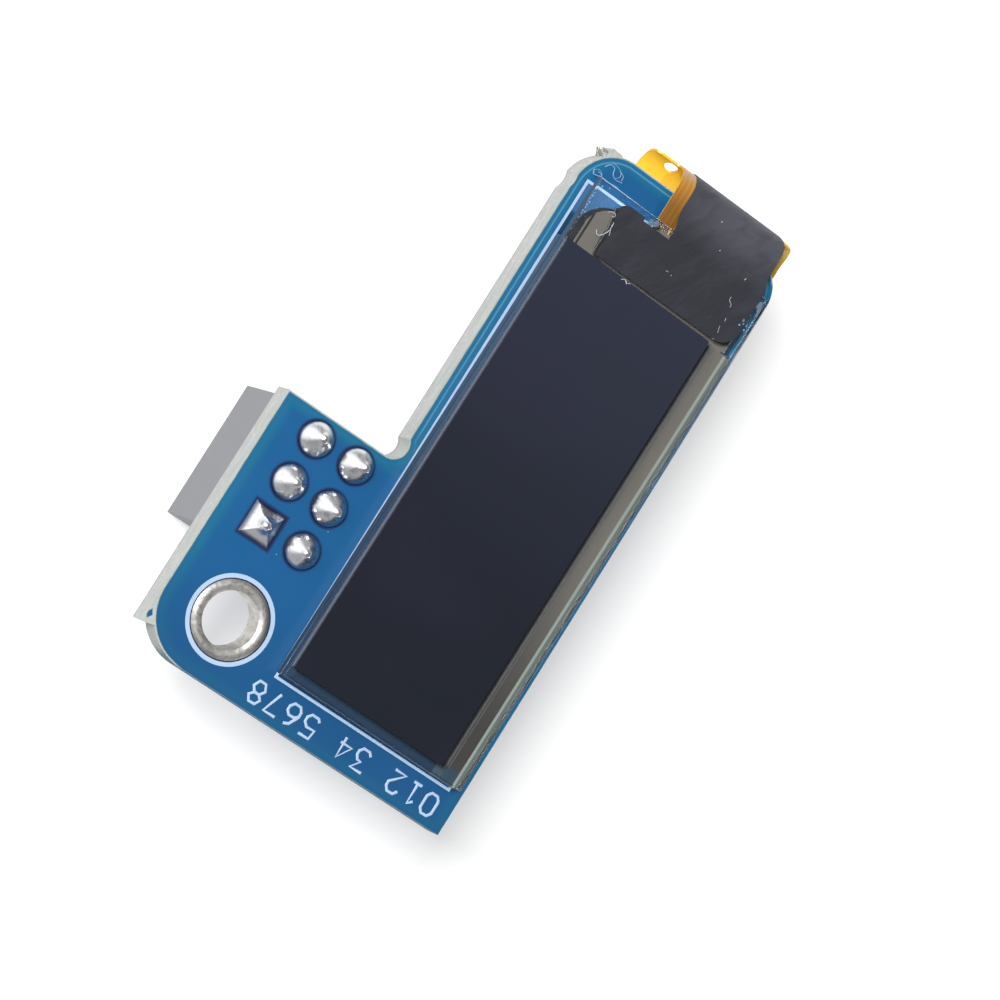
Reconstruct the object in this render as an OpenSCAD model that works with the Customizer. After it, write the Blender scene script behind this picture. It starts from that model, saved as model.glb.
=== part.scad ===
// Small organic LED display module: a glass display panel taped to an
// L-shaped circuit board, with a 2 x 3 pin socket under the board's tab.
// Millimetres. The origin is the centre of the socket's mating face. +Z points
// out of the display and +Y runs along the display arm to the folded flex.

/* [Circuit board] */
// Thickness of the circuit board
board_t = 1.6; // [1.2:0.1:1.8]
// Width across the tab and the display arm
board_w = 19.7; // [19.5:0.1:24]
// Length of the display arm
board_l = 34.3; // [33.8:0.1:34.6]
// Length of the tab that carries the socket
tab_l = 14.64; // [14.2:0.02:18]
// Width of the display arm
arm_w = 12.85; // [12.6:0.05:13.2]
// Radius of the tab's rounded corner
tab_r = 3.0; // [1:0.1:3.3]
// Radius of the display arm's left corner
left_r = 2.5; // [1:0.1:2.6]
// Radius of the display arm's right corner
right_r = 2.0; // [1:0.1:2.6]
// Distance from the socket's centre to the board's left edge
edge_to_pins = 3.9; // [3.6:0.1:4.5]

/* [Mounting hole] */
// Diameter of the clear bore
mount_d = 3.0; // [2.2:0.1:3.2]
// Outer diameter of the tinned ring round the bore
mount_ring_d = 4.15; // [3.8:0.05:4.5]
// Distance from the socket's centre to the mounting hole
mount_pitch = 7.41; // [6.8:0.01:7.6]
// Distance from the mounting hole to the near end of the board
mount_to_end = 3.38; // [3.2:0.02:4]

/* [Socket] */
// Pin spacing
pitch = 2.54; // [2.54:0.01:2.54]
// Height of the socket's housing
socket_h = 8.5; // [7.5:0.1:9.5]
// Width of the housing across its two columns
socket_w = 5.0; // [4.9:0.05:5.2]
// Length of the housing along its three rows
socket_l = 7.8; // [7.5:0.05:8]

/* [Display panel] */
// Width of the glass panel
panel_w = 11.5; // [11:0.1:11.8]
// Length of the front glass
panel_l = 30; // [29.5:0.1:30.5]
// Thickness of the rear cap glass
cap_t = 0.52; // [0.45:0.01:0.6]
// Thickness of the front glass
front_t = 0.55; // [0.4:0.05:0.7]
// Thickness of the polarizer on the front glass
polarizer_t = 0.2; // [0.1:0.05:0.3]
// Length of the front glass that reaches past the cap glass
ledge_l = 3.55; // [3.3:0.05:3.8]
// Angle at which the panel was stuck down, clockwise from straight
panel_skew = 0.4; // [0:0.1:0.6]
// Distance from the board's near end to the panel's near end
panel_to_end = 2.43; // [2.3:0.01:2.6]
// Distance from the board's right edge to the panel
panel_to_side = 0.65; // [0.5:0.05:0.8]

/* [Flex cable] */
// Thickness of the flex cable
flex_t = 0.12; // [0.08:0.01:0.15]
// Width of the neck that leaves the glass
neck_w = 6.66; // [6:0.02:7.4]
// Width of the soldered tail with its two ears
tail_w = 9.9; // [9.4:0.1:10.2]
// Distance that the flex reaches past the end of the glass before it folds
flex_reach = 2.1; // [1.9:0.05:2.3]
// Length of the tail under the board, from the fold
tail_l = 3.6; // [3:0.1:4]
// Diameter of the alignment hole in each ear
ear_hole_d = 0.75; // [0.5:0.05:0.9]

/* [Hidden] */
$fn = 64;
eps = 0.01;

// Board outline
board_x0 = -edge_to_pins;
board_x1 = board_x0 + board_w;
board_y0 = -mount_pitch - mount_to_end;
board_y1 = board_y0 + board_l;
arm_x0 = board_x1 - arm_w;
tab_y1 = board_y0 + tab_l;
board_z0 = socket_h;
board_z1 = socket_h + board_t;
spur_l = 2.07;
spur_w = 0.62;
notch_r = 0.8;
notch_cut = 0.2;
nick_r = 1.2;
nick_cut = 0.14;
nick_y = board_y1 - 2.56;

// What is left of the second break-off strip: [angle round the corner, radius beyond it]
BURR = [[132, -0.1], [127, 0.17], [121, 0.4], [117, 0.25], [112, 0.15], [106, -0.1]];

// Pins: two columns of three, numbered column by column
PIN_X = [for (c = [-0.5, 0.5], r = [-1, 0, 1]) c * pitch];
PIN_Y = [for (c = [-0.5, 0.5], r = [-1, 0, 1]) r * pitch];
pin_hole_d = 1.0;
plating_t = 0.05;
tin_h = 0.1;

// Socket contact, a folded strip with two spring leaves
strip_t = 0.18;
strip_w = 0.6;
cavity_x = 1.4;
cavity_y = 1.7;
entry = 0.9;
entry_lead = 0.35;
floor_t = 0.8;
roof_t = 0.6;
saddle_h = 0.9;
saddle_z = socket_h - roof_t - saddle_h;
grip_z = 2.5;
grip_gap = 0.45;
leaf_z0 = 1.1;
tail_x = 0.25;
tail_y = 0.5;
tail_top = board_z1 + 0.6;

// Solder
dome_r = 0.89;
dome_h = 0.95;
square_half = 0.9;
DOME_STEPS = [for (i = [0:10]) i / 10];
RING = 24;

// Display stack, from the board up
pad_t = 0.15;
seal_t = 0.03;
film_t = 0.02;
pad_z = board_z1;
cap_z = pad_z + pad_t;
seal_z = cap_z + cap_t;
film_z = seal_z + seal_t;
front_z = film_z + film_t;
polarizer_z = front_z + front_t;
panel_x0 = board_x1 - panel_to_side - panel_w;
panel_y0 = board_y0 + panel_to_end;
panel_x1 = panel_x0 + panel_w;
panel_y1 = panel_y0 + panel_l;
cap_y1 = panel_y1 - ledge_l;
panel_mid = [(panel_x0 + panel_x1) / 2, (panel_y0 + panel_y1) / 2];
arris = 0.05;
pad_r = 1.9;

// Flex cable
flex_x = panel_x0 + 7.45;
flex_top = film_z;
fold_y = panel_y1 + flex_reach;
fold_ri = (flex_top - flex_t - board_z0) / 2;
fold_ro = fold_ri + flex_t;
fold_z = board_z0 + fold_ri;
bond_l = 1.05;
ear_x = flex_x - 0.1;
ear_z = fold_z + 0.01;
ear_r = [0.6, 1.2];
ear_fillet = 0.3;
ear_hole_x = 3.55;
ear_hole_a = 31;
tail_y0 = fold_y - tail_l;

// Soldered pads along the flex tail
PADS = 14;
pad_pitch = 0.62;
pad_w = 0.36;

// Black tape
tape_t = 0.06;
tape_x0 = panel_x0 + 1.75;
tape_x1 = panel_x1 - 0.45;
tape_gap = 0.14;
tape_wrap = 100;
tape_y1 = fold_y + fold_ro + tape_t;
slot_x0 = tape_x0 + 1.5;
slot_x1 = tape_x0 + 3.22;
slot_y0 = panel_y1 - 0.55;
wing_y1 = panel_y1 - 0.34;

// Surface-mount parts on the back, in two rows beside the flex tail
CAPS = 5;
RESISTORS = 3;
cap_row = [6.6, 16.3];
resistor_row = [7.6, 13.2];
chip_pitch = 2.1;
chip_l = 1.6;
chip_w = 0.8;
cap_h = 0.8;
resistor_h = 0.45;
solder_gap = 0.04;

// ---- Helpers ----

// What a round of radius r leaves of a square corner; dir points to the corner
module corner_trim(centre, r, dir) {
    translate(centre)
        difference() {
            translate([dir.x < 0 ? -r - 1 : 0, dir.y < 0 ? -r - 1 : 0])
                square(r + 1);
            circle(r);
        }
}

// Rectangle from a to b whose four corners are rounded
module rounded_rect(a, b, r) {
    difference() {
        translate(a)
            square(b - a);
        corner_trim(a + [r, r], r, [-1, -1]);
        corner_trim(b - [r, r], r, [1, 1]);
        corner_trim([a.x + r, b.y - r], r, [-1, 1]);
        corner_trim([b.x - r, a.y + r], r, [1, -1]);
    }
}

// Box from corner a to corner b
module block(a, b) {
    translate(a)
        cube(b - a);
}

// Turns a YZ profile into a prism of the given width, centred on x
module along_x(x, width) {
    translate([x - width / 2, 0, 0])
        rotate([90, 0, 90])
            linear_extrude(width)
                children();
}

// Turns an XZ outline into a prism from y0 to y1
module along_y(y0, y1) {
    translate([0, y1, 0])
        rotate([90, 0, 0])
            linear_extrude(y1 - y0)
                children();
}

// Places a piece of the display panel with the small skew of the real one
module on_panel() {
    translate([panel_mid.x, panel_mid.y, 0])
        rotate([0, 0, -panel_skew])
            translate([-panel_mid.x, -panel_mid.y, 0])
                children();
}

// ---- Circuit board ----

// Outline of the board, as the router left it: the cutter turned in the inside
// corner, and nicked the arm where its left corner starts
module board_outline() {
    turn = [arm_x0 + notch_cut - notch_r, tab_y1 + notch_r];
    difference() {
        union() {
            arm_outline();
            tab_outline();
            tab_spur();
            translate([turn.x, tab_y1 - eps])
                square([arm_x0 - turn.x + eps, notch_r + eps]);
        }
        translate(turn)
            circle(notch_r);
        translate([arm_x0 + nick_cut - nick_r, nick_y])
            circle(nick_r);
    }
}

module arm_outline() {
    difference() {
        translate([arm_x0, board_y0])
            square([arm_w, board_l]);
        difference() {
            corner_trim([arm_x0 + left_r, board_y1 - left_r], left_r, [-1, 1]);
            arm_burr();
        }
        corner_trim([board_x1 - right_r, board_y1 - right_r], right_r, [1, 1]);
    }
}

module tab_outline() {
    difference() {
        translate([board_x0, board_y0])
            square([arm_x0 - board_x0 + eps, tab_l]);
        corner_trim([board_x0 + tab_r, board_y0 + tab_r], tab_r, [-1, -1]);
    }
}

// Stub of the break-off strip at the tab's rounded corner
module tab_spur() {
    polygon([
        [board_x0, board_y0 + tab_r],
        [board_x0, board_y0 + tab_r - spur_l],
        [board_x0 + spur_w, board_y0 + tab_r - spur_l + 0.16],
        [board_x0 + tab_r, board_y0 + tab_r]]);
}

// Torn stub of the break-off strip at the arm's left corner
module arm_burr() {
    translate([arm_x0 + left_r, board_y1 - left_r])
        polygon(concat([[0, 0]], [for (b = BURR) (left_r + b[1]) * [cos(b[0]), sin(b[0])]]));
}

module pcb() {
    color("#24619c")
        translate([0, 0, board_z0])
            linear_extrude(board_t)
                difference() {
                    board_outline();
                    translate([0, -mount_pitch])
                        circle(mount_d / 2 + plating_t);
                    for (i = [0:5])
                        translate([PIN_X[i], PIN_Y[i]])
                            circle(d = pin_hole_d);
                }
}

// Tinned lining of the mounting hole, with a rounded ring on both faces
module hole_plating() {
    bore_r = mount_d / 2;
    color("#c9c9c4")
        translate([0, -mount_pitch, 0])
            rotate_extrude() {
                translate([bore_r, board_z0])
                    square([plating_t, board_t]);
                for (side = [0, 1])
                    translate([0, side ? board_z1 : board_z0])
                        mirror([0, side ? 0 : 1])
                            tin_ring(bore_r);
            }
}

// Half section of one ring: a low segment of a circle, as solder sets on copper
module tin_ring(bore_r) {
    w = mount_ring_d / 2 - bore_r;
    r = (w * w / 4 + tin_h * tin_h) / (2 * tin_h);
    intersection() {
        translate([bore_r + w / 2, tin_h - r])
            circle(r);
        translate([bore_r, 0])
            square([w, tin_h]);
    }
}

// ---- Socket ----

// Square funnel at the mouth of one cavity, as two crossed trapezoids
module entry_funnel() {
    wide = entry / 2 + entry_lead;
    shape = [[-wide, -eps], [wide, -eps], [entry / 2, entry_lead], [-entry / 2, entry_lead]];
    intersection() {
        along_x(0, 2 * wide)
            polygon(shape);
        along_y(-wide, wide)
            polygon(shape);
    }
}

module socket_housing() {
    color("#8f9196")
        difference() {
            block([-socket_w / 2, -socket_l / 2, 0], [socket_w / 2, socket_l / 2, socket_h]);
            for (i = [0:5])
                translate([PIN_X[i], PIN_Y[i], 0]) {
                    entry_funnel();
                    block([-entry / 2, -entry / 2, 0], [entry / 2, entry / 2, floor_t + eps]);
                    block([-cavity_x / 2, -cavity_y / 2, floor_t],
                          [cavity_x / 2, cavity_y / 2, socket_h - roof_t]);
                    block([-tail_x / 2 - 0.05, -tail_y / 2 - 0.05, socket_h - roof_t - eps],
                          [tail_x / 2 + 0.05, tail_y / 2 + 0.05, socket_h + eps]);
                }
        }
}

// Edge-on profile of one spring leaf: down from the saddle, in to the pin, out again
module leaf_profile() {
    root = cavity_y / 2 - 0.12;
    nip = grip_gap / 2;
    flare = nip + 0.3;
    centre = [[root, saddle_z + eps], [root, saddle_z - 1.4], [nip, grip_z + 0.35],
              [nip, grip_z - 0.35], [flare, leaf_z0]];
    polygon(concat(centre, [for (i = [4:-1:0]) centre[i] - [-strip_t, 0]]));
}

module socket_contact(i) {
    color("#c8a65a")
        translate([PIN_X[i], PIN_Y[i], 0]) {
            intersection() {
                along_x(0, strip_w)
                    for (side = [0, 1])
                        mirror([side, 0])
                            leaf_profile();
                block([-1, -cavity_y / 2, 0], [1, cavity_y / 2, socket_h]);
            }
            block([-cavity_x / 2, -cavity_y / 2, saddle_z],
                  [cavity_x / 2, cavity_y / 2, saddle_z + saddle_h]);
            block([-tail_x / 2, -tail_y / 2, saddle_z + saddle_h - eps],
                  [tail_x / 2, tail_y / 2, tail_top]);
        }
}

// ---- Solder joints of the socket ----

// Half width of a joint at height fraction t: full at the foot, drawn in above
function dome_width(t) = (1 - t) + 0.1 * sin(360 * t);
function dome_rise(t) = dome_h * sin(90 * t);

// Space that the contact's tail takes up inside a joint
module tail_hole() {
    block([-tail_x / 2, -tail_y / 2, -eps], [tail_x / 2, tail_y / 2, tail_top - board_z0]);
}

// Round joint: a drawn-up cone of solder over the pin's tip
module round_joint() {
    difference() {
        union() {
            cylinder(h = board_t, d = pin_hole_d);
            translate([0, 0, board_t])
                rotate_extrude()
                    polygon(concat([[0, 0]],
                        [for (t = DOME_STEPS) [dome_r * dome_width(t), dome_rise(t)]]));
        }
        tail_hole();
    }
}

// Point at angle a of a rounded square of half width s; p runs from 0, square, to 1, round
function ring_point(s, p, a) =
    [s * sign(cos(a)) * pow(abs(cos(a)), p), s * sign(sin(a)) * pow(abs(sin(a)), p)];

// Joint on the square pad: the same cone with four hollowed sides
module square_joint() {
    levels = [for (i = [0:9]) i / 10];
    points = concat(
        [for (t = levels, k = [0:RING - 1])
            let (q = ring_point(square_half * dome_width(t), 0.25 + 0.75 * t, k * 360 / RING))
            [q.x, q.y, dome_rise(t)]],
        [[0, 0, dome_h], [0, 0, 0]]);
    top = len(levels) * RING;
    faces = concat(
        [for (i = [0:len(levels) - 2], k = [0:RING - 1])
            [i * RING + k, (i + 1) * RING + k, (i + 1) * RING + (k + 1) % RING]],
        [for (i = [0:len(levels) - 2], k = [0:RING - 1])
            [i * RING + k, (i + 1) * RING + (k + 1) % RING, i * RING + (k + 1) % RING]],
        [for (k = [0:RING - 1])
            [(len(levels) - 1) * RING + k, top, (len(levels) - 1) * RING + (k + 1) % RING]],
        [for (k = [0:RING - 1]) [(k + 1) % RING, top + 1, k]]);
    difference() {
        union() {
            cylinder(h = board_t, d = pin_hole_d);
            translate([0, 0, board_t])
                polyhedron(points, faces);
        }
        tail_hole();
    }
}

module solder_joint(i) {
    color("#bfc1c4")
        translate([PIN_X[i], PIN_Y[i], board_z0])
            if (i == 0)
                square_joint();
            else
                round_joint();
}

// ---- Display panel ----

// Plan of the adhesive, drawn in by the given distance
module pad_outline(inset) {
    rounded_rect([panel_x0 + 0.45 + inset, panel_y0 + 0.3 + inset],
                 [panel_x1 - 0.55 - inset, panel_y1 - 0.74 - inset], pad_r - inset);
}

module adhesive_pad() {
    color("#20242c")
        on_panel()
            translate([0, 0, pad_z])
                linear_extrude(pad_t)
                    pad_outline(0);
}

// Rear glass with the shallow etched pocket that holds the desiccant
module cap_glass() {
    color("#7f97a0")
        on_panel()
            difference() {
                block([panel_x0, panel_y0, cap_z], [panel_x1, cap_y1, seal_z]);
                block([panel_x0 + 1.2, panel_y0 + 1.2, cap_z + 0.25],
                      [panel_x1 - 1.2, cap_y1 - 1.2, seal_z + eps]);
            }
}

module desiccant_sheet() {
    color("#d8d8d2")
        on_panel()
            block([panel_x0 + 1.6, panel_y0 + 1.8, cap_z + 0.25],
                  [panel_x1 - 1.6, cap_y1 - 1.8, cap_z + 0.42]);
}

// Bead of cured resin that joins the two glasses round their edge
module edge_seal() {
    color("#3a3c3a")
        on_panel()
            difference() {
                block([panel_x0 + 0.12, panel_y0 + 0.12, seal_z],
                      [panel_x1 - 0.12, cap_y1 - 0.05, film_z]);
                block([panel_x0 + 1.0, panel_y0 + 1.0, seal_z - eps],
                      [panel_x1 - 1.6, cap_y1 - 1.0, film_z + eps]);
            }
}

// Light-emitting layers on the front glass's back, the bus of row traces over
// the adhesive, and the strip of terminals that the flex is bonded to
module trace_film() {
    color("#77736c")
        on_panel()
            translate([0, 0, film_z])
                linear_extrude(film_t) {
                    translate([panel_x0 + 0.12, panel_y0 + 0.12])
                        square([panel_w - 0.24, panel_l - ledge_l - 0.24]);
                    intersection() {
                        translate([panel_x0 + 0.65, panel_y0 + 1])
                            square([10.4, panel_l]);
                        pad_outline(0.12);
                    }
                    translate([flex_x - neck_w / 2 - 0.2, cap_y1])
                        square([neck_w + 0.4, ledge_l - 0.3]);
                }
}

// Front glass with its thin ground arris along the top edges
module display_glass() {
    color("#8aa0a6")
        on_panel()
            intersection() {
                block([panel_x0, panel_y0, front_z], [panel_x1, panel_y1, polarizer_z]);
                along_y(panel_y0, panel_y1)
                    arris_outline(panel_x0, panel_x1);
                along_x((panel_x0 + panel_x1) / 2, panel_w)
                    arris_outline(panel_y0, panel_y1);
            }
}

// Section of the front glass from a to b with its two top corners ground off
module arris_outline(a, b) {
    polygon([[a, front_z], [b, front_z], [b, polarizer_z - arris], [b - arris, polarizer_z],
             [a + arris, polarizer_z], [a, polarizer_z - arris]]);
}

module polarizer() {
    color("#2a2c38")
        on_panel()
            translate([0, 0, polarizer_z])
                linear_extrude(polarizer_t)
                    rounded_rect([panel_x0 + 0.15, panel_y0 + 0.6],
                                 [panel_x1 - 1.75, cap_y1 - 0.05], 0.12);
}

// Driver die, bonded face up to the traces under the glass ledge
module driver_chip() {
    color("#4a4c55")
        on_panel()
            block([flex_x - 3.9, cap_y1 + 0.55, film_z - 0.3],
                  [flex_x + 3.3, cap_y1 + 1.45, film_z]);
}

// ---- Flex cable ----

// Side view: bonded strip, flat run, fold of 180 degrees, tail under the board
module flex_profile() {
    translate([panel_y1 - bond_l, flex_top - flex_t])
        square([fold_y - panel_y1 + bond_l, flex_t]);
    translate([tail_y0, board_z0 - flex_t])
        square([fold_y - tail_y0, flex_t]);
    difference() {
        translate([fold_y, fold_z])
            circle(fold_ro);
        translate([fold_y, fold_z])
            circle(fold_ri);
        translate([fold_y - fold_ro - 1, fold_z - fold_ro - 1])
            square([fold_ro + 1, 2 * fold_ro + 2]);
    }
}

// End view: narrow neck above, wide tail with two rounded ears below
module flex_outline() {
    low = board_z0 - flex_t - 1;
    translate([flex_x - neck_w / 2, low])
        square([neck_w, flex_top - low + 1]);
    difference() {
        translate([ear_x - tail_w / 2, low])
            square([tail_w, ear_z - low]);
        corner_trim([ear_x - tail_w / 2 + ear_r[0], ear_z - ear_r[0]], ear_r[0], [-1, 1]);
        corner_trim([ear_x + tail_w / 2 - ear_r[1], ear_z - ear_r[1]], ear_r[1], [1, 1]);
    }
    for (side = [-1, 1])
        difference() {
            translate([flex_x + side * (neck_w + ear_fillet) / 2, ear_z + ear_fillet / 2])
                square(ear_fillet + 2 * eps, center = true);
            translate([flex_x + side * (neck_w / 2 + ear_fillet), ear_z + ear_fillet])
                circle(ear_fillet);
        }
}

module flex_cable() {
    color("#e0a52f")
        difference() {
            intersection() {
                along_x(ear_x, tail_w)
                    flex_profile();
                along_y(tail_y0 - 1, fold_y + fold_ro + 1)
                    flex_outline();
            }
            for (side = [-1, 1])
                translate([flex_x + side * ear_hole_x, fold_y, fold_z])
                    rotate([-90 - ear_hole_a, 0, 0])
                        cylinder(h = fold_ro + 1, d = ear_hole_d);
        }
}

// Fourteen soldered fingers at the end of the tail
module flex_solder() {
    color("#bfc1c4")
        for (k = [0:PADS - 1])
            along_x(flex_x + (k - (PADS - 1) / 2) * pad_pitch, pad_w)
                polygon([
                    [tail_y0 - 0.75, board_z0],
                    [tail_y0, board_z0],
                    [tail_y0, board_z0 - flex_t],
                    [tail_y0 + 0.85, board_z0 - flex_t],
                    [tail_y0 + 0.55, board_z0 - flex_t - 0.12],
                    [tail_y0, board_z0 - flex_t - 0.18],
                    [tail_y0 - 0.4, board_z0 - 0.16]]);
}

// ---- Black tape over the ledge and the flex ----

// Plan of the tape: the strip over the flex, the wing on its left and the slot between
module tape_outline() {
    y0 = cap_y1 + tape_gap;
    difference() {
        translate([tape_x0, y0])
            square([tape_x1 - tape_x0, tape_y1 - y0]);
        corner_trim([tape_x0 + 0.3, y0 + 0.3], 0.3, [-1, -1]);
        corner_trim([tape_x1 - 1.1, y0 + 1.1], 1.1, [1, -1]);
        corner_trim([tape_x1 - 0.6, tape_y1 - 0.6], 0.6, [1, 1]);
        corner_trim([tape_x0 + 0.55, wing_y1 - 0.55], 0.55, [-1, 1]);
        translate([tape_x0 - 1, wing_y1])
            square([slot_x1 - tape_x0 + 1, tape_y1 - wing_y1 + 1]);
        translate([slot_x0, slot_y0])
            square([slot_x1 - slot_x0, 1]);
    }
}

// Side view without the fold: flat on the glass, down to the flex, flat on it
module tape_profile() {
    edge = panel_y1 + 0.06;
    low = [[cap_y1, polarizer_z], [edge, polarizer_z], [edge + 0.25, polarizer_z - 0.13],
           [edge + 0.75, flex_top + 0.1], [edge + 1.1, flex_top], [fold_y, flex_top]];
    polygon(concat(low, [for (i = [len(low) - 1:-1:0]) low[i] + [0.01 * i, tape_t]]));
}

module black_tape() {
    color("#2b2b30")
        intersection() {
            translate([0, 0, board_z0])
                linear_extrude(board_t + 3)
                    tape_outline();
            union() {
                along_x((tape_x0 + tape_x1) / 2, tape_x1 - tape_x0 + 2)
                    tape_profile();
                translate([tape_x0 - 1, fold_y, fold_z])
                    rotate([90, 0, 90])
                        rotate([0, 0, 90 - tape_wrap])
                            rotate_extrude(angle = tape_wrap)
                                translate([fold_ro, 0])
                                    square([tape_t, tape_x1 - tape_x0 + 2]);
            }
        }
}

// ---- Surface-mount parts on the back ----

// Ceramic or thick-film body with its two metal end caps, hanging under the board
module chip_part(at, h, end_r) {
    translate([at.x - chip_w / 2, at.y, board_z0 - solder_gap])
        rotate([90, 0, 90])
            linear_extrude(chip_w)
                rounded_rect([-chip_l / 2, -h], [chip_l / 2, 0], end_r);
}

module capacitor(i) {
    color("#b79a78")
        chip_part(cap_row + [i * chip_pitch, 0], cap_h, 0.08);
}

module resistor(i) {
    color("#1d1d20")
        chip_part(resistor_row + [i * chip_pitch, 0], resistor_h, 0.05);
}

// Two fillets and the thin film of solder under one chip's ends
module chip_fillets(at, h) {
    for (side = [0, 1])
        translate([at.x, at.y, board_z0])
            mirror([0, side, 0])
                along_x(0, chip_w)
                    polygon([[chip_l / 2 - 0.35, 0], [chip_l / 2 + 0.4, 0], [chip_l / 2, -0.6 * h],
                             [chip_l / 2, -solder_gap], [chip_l / 2 - 0.35, -solder_gap]]);
}

module chip_solder() {
    color("#bfc1c4") {
        for (i = [0:CAPS - 1])
            chip_fillets(cap_row + [i * chip_pitch, 0], cap_h);
        for (i = [0:RESISTORS - 1])
            chip_fillets(resistor_row + [i * chip_pitch, 0], resistor_h);
    }
}

pcb();
hole_plating();
socket_housing();
for (i = [0:5]) {
    socket_contact(i);
    solder_joint(i);
}
adhesive_pad();
cap_glass();
desiccant_sheet();
edge_seal();
trace_film();
display_glass();
polarizer();
driver_chip();
flex_cable();
flex_solder();
black_tape();
for (i = [0:CAPS - 1])
    capacitor(i);
for (i = [0:RESISTORS - 1])
    resistor(i);
chip_solder();
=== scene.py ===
"""Finishes, printed marks, solder and studio of a small OLED display module.

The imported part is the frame. It gives the boxes that the pieces are placed from. The module's
own sizes and patterns are in millimetres, which MM turns into Blender's metres. The settings and
the studio are in metres.
"""

import math
from contextlib import contextmanager

import bpy
from mathutils import Euler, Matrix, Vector


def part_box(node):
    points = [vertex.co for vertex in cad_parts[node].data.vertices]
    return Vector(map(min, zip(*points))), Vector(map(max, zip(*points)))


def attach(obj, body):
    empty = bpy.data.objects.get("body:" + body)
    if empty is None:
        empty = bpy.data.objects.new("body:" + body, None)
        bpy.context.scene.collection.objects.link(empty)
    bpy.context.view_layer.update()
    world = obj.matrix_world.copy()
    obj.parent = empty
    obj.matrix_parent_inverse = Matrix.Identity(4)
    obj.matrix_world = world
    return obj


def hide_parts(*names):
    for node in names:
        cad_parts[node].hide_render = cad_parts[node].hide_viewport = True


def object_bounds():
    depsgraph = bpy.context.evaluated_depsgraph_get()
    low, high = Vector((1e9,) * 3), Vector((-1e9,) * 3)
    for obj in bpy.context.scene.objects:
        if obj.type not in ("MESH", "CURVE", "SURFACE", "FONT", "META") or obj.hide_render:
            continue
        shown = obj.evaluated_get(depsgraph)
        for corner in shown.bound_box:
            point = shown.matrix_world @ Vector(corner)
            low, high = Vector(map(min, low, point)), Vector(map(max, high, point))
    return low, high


bl_info = {
    "name": "Small OLED Module",
    "version": (1, 0, 0),
    "blender": (4, 5, 0),
    "location": "View3D > Sidebar > OLED Module",
    "description": "Dresses a small display module and sets up its studio",
    "category": "Object",
}

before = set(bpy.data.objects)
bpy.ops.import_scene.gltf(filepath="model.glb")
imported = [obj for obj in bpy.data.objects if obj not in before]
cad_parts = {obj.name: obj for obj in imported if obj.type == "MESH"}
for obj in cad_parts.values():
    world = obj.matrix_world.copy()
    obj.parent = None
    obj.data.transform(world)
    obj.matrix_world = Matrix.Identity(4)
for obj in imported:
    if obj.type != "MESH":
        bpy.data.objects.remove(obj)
CAD_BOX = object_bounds()
CAD_CENTRE = (Vector(CAD_BOX[0]) + Vector(CAD_BOX[1])) / 2

MM = 0.001
BODY = "root"
JOINTS = [f"solder_joint_{i}" for i in range(1, 7)]
CONTACTS = [f"socket_contact_{i}" for i in range(1, 7)]
CAPACITORS = [f"capacitor_{i}" for i in range(1, 6)]
RESISTORS = [f"resistor_{i}" for i in range(1, 4)]


def span(node):
    """Lowest and highest corner of a node, in millimetres."""
    low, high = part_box(node)
    return low / MM, high / MM


def middle(node):
    """Centre of a node, in millimetres."""
    low, high = span(node)
    return (low + high) / 2


def ink(red, green, blue):
    """Linear colour of a screen colour given from 0 to 255."""
    return tuple(c / 3294.6 if c <= 10.3 else ((c / 255 + 0.055) / 1.055) ** 2.4
                 for c in (red, green, blue))


BOARD_LOW, BOARD_HIGH = span("pcb")
HOLE = middle("hole_plating")
SOCKET_LOW, SOCKET_HIGH = span("socket_housing")
PANEL = middle("display_glass")
PANEL_SKEW = math.radians(0.4)
GLASS_LOW, GLASS_HIGH = span("display_glass")
FLEX_LOW, FLEX_HIGH = span("flex_cable")
TAPE_LOW, TAPE_HIGH = span("black_tape")
FOLD = Vector((0, FLEX_HIGH.y - 1.21, BOARD_LOW.z + 1.09))  # axis of the flex's fold
BOARD_TOP = BOARD_HIGH.z
GLASS_TOP = GLASS_HIGH.z
TAB_TOP = 3.85
ARM_LEFT = 2.95
TAB_ROUND = 3.0
LEFT_ROUND = 2.5
RIGHT_ROUND = 2.0
TURN = (ARM_LEFT - 0.6, TAB_TOP + 0.8)  # centre of the round cut between tab and arm
TURN_ROUND = 0.8
PIN_PITCH = 2.54


# ---- Shader formulas ----


class Wire:
    """A number that flows between shader nodes, so that a pattern reads as a formula."""

    def __init__(self, tree, socket):
        self.tree = tree
        self.socket = socket

    def maths(self, operation, *others):
        return maths(self.tree, operation, self, *others)

    def __add__(self, other):
        return self.maths("ADD", other)

    def __sub__(self, other):
        return self.maths("SUBTRACT", other)

    def __rsub__(self, other):
        return maths(self.tree, "SUBTRACT", other, self)

    def __mul__(self, other):
        return self.maths("MULTIPLY", other)

    __radd__ = __add__
    __rmul__ = __mul__

    def size(self):
        return self.maths("ABSOLUTE")

    def least(self, other):
        return self.maths("MINIMUM", other)

    def most(self, other):
        return self.maths("MAXIMUM", other)

    def wrap(self, step):
        """Distance from the nearest multiple of step."""
        return self.maths("PINGPONG", step / 2)

    def over(self, edge, soft=0.02):
        """0 below the edge and 1 above it, with a smooth ramp of width soft."""
        node = self.tree.nodes.new("ShaderNodeMapRange")
        node.interpolation_type = "SMOOTHSTEP"
        plug(self.tree, node.inputs["Value"], self)
        node.inputs["From Min"].default_value = edge - soft / 2
        node.inputs["From Max"].default_value = edge + soft / 2
        return Wire(self.tree, node.outputs["Result"])

    def under(self, edge, soft=0.02):
        return 1.0 - self.over(edge, soft)

    def between(self, low, high, soft=0.02):
        return self.over(low, soft) * self.under(high, soft)


def maths(tree, operation, *values):
    node = tree.nodes.new("ShaderNodeMath")
    node.operation = operation
    for socket, value in zip(node.inputs, values):
        plug(tree, socket, value)
    return Wire(tree, node.outputs[0])


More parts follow.
